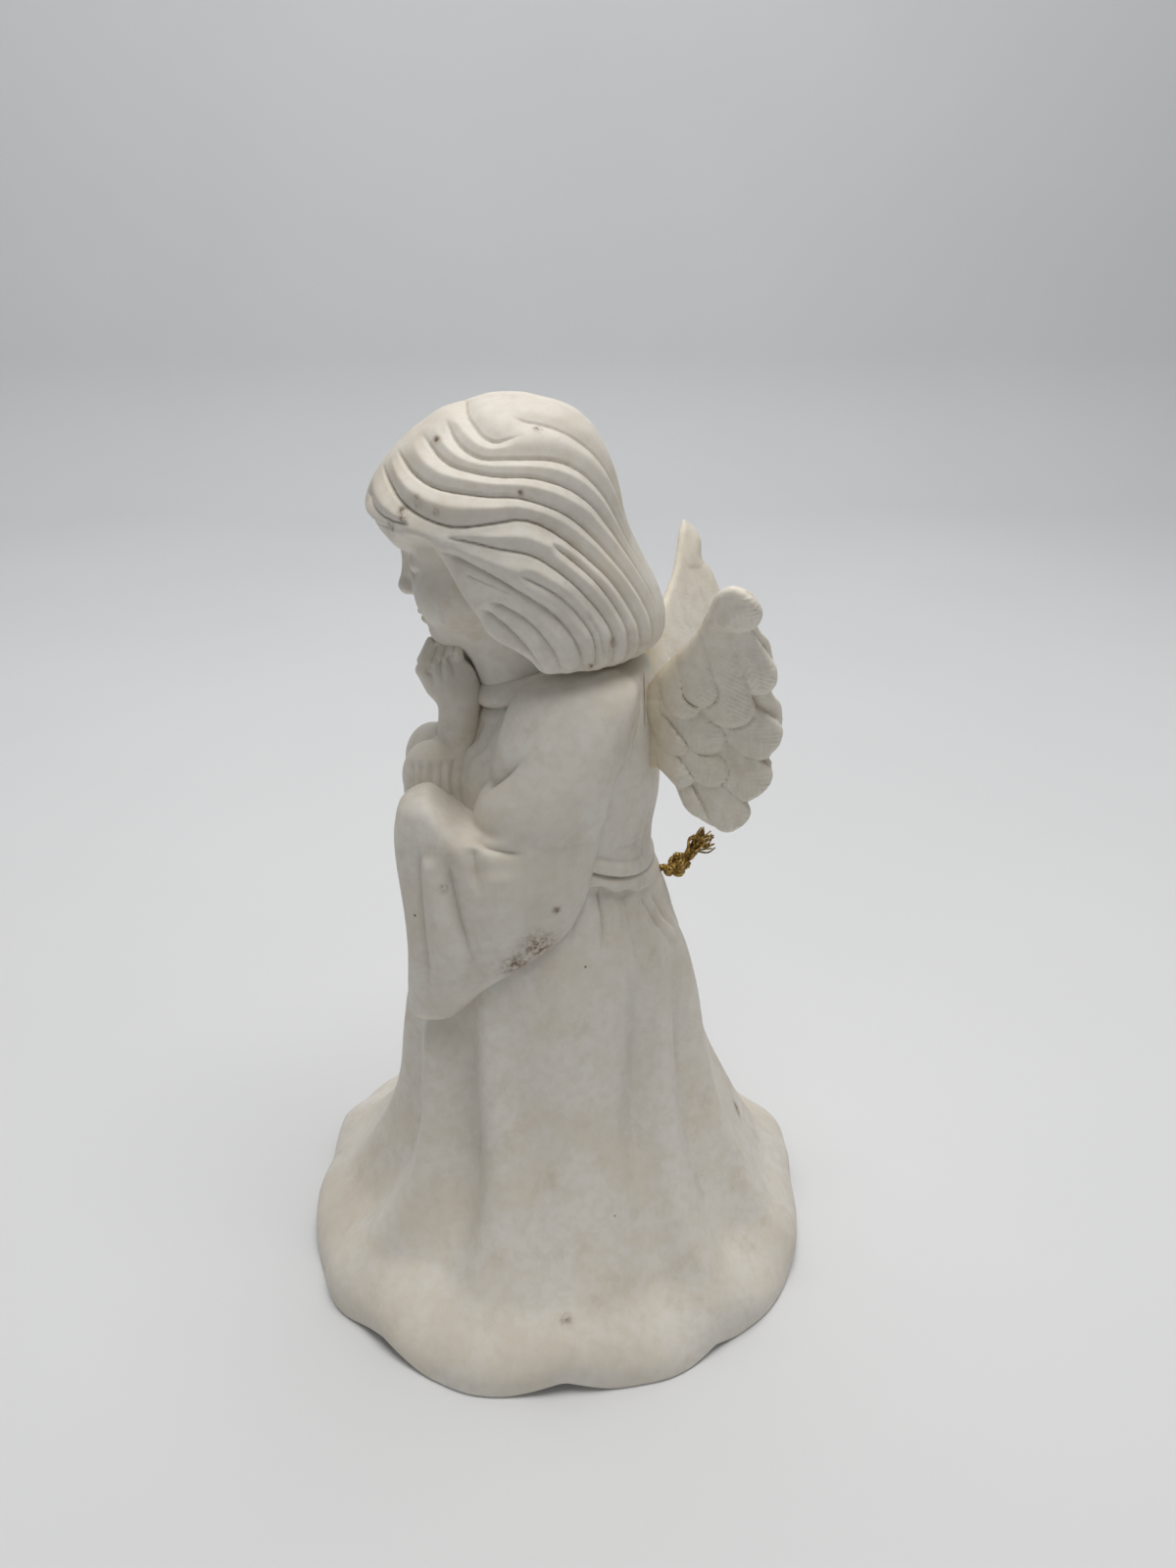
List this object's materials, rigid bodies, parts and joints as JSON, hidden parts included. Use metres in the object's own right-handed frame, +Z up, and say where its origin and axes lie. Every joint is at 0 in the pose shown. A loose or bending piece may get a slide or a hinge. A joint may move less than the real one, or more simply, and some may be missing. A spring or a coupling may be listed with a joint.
{
  "type": "porcelain angel bell figurine",
  "caption": "White bisque angel girl with clasped hands, a belted robe, bell sleeves and small wings; her hollow skirt is a bell with a clapper on a gold cord.",
  "frame": {"origin": "on the table, under the middle of the hem's bounding box", "axes": "+Z up, the figure faces -Y, its left hand is at +X"},
  "size_m": [0.0712, 0.0708, 0.1152],
  "materials": {
    "bisque": "unglazed matte bisque with a faint silky rub sheen, speckled with old dust",
    "wing_bisque": "unglazed matte bisque, yellowed towards the roots",
    "gold_cord": "twisted metallic gold thread, glinting",
    "bead_bisque": "unglazed matte bisque bead"
  },
  "bodies": {
    "figure": {"robe_shell": "bisque", "head_with_hair": "bisque", "left_sleeve": "bisque", "right_sleeve": "bisque", "clasped_hands": "bisque", "left_wing": "wing_bisque", "right_wing": "wing_bisque", "cord_outer_knot": "gold_cord", "cord_frayed_tuft": "gold_cord", "cord_through_wall": "gold_cord"},
    "cord_pivot": {"cord_bend": "gold_cord"},
    "clapper": {"clapper_cord": "gold_cord", "clapper_bead": "bead_bisque", "clapper_stop_knot": "gold_cord"}
  },
  "joints": [
    {"name": "swing_fore_aft", "type": "hinge", "parent": "figure", "child": "cord_pivot", "pos_m": [0, 0.0105, 0.0533], "axis": [1, 0, 0], "range_deg": [-32, 5]},
    {"name": "swing_sideways", "type": "hinge", "parent": "cord_pivot", "child": "clapper", "pos_m": [0, 0.0105, 0.0533], "axis": [0, 1, 0], "range_deg": [-14, 14]}
  ]
}
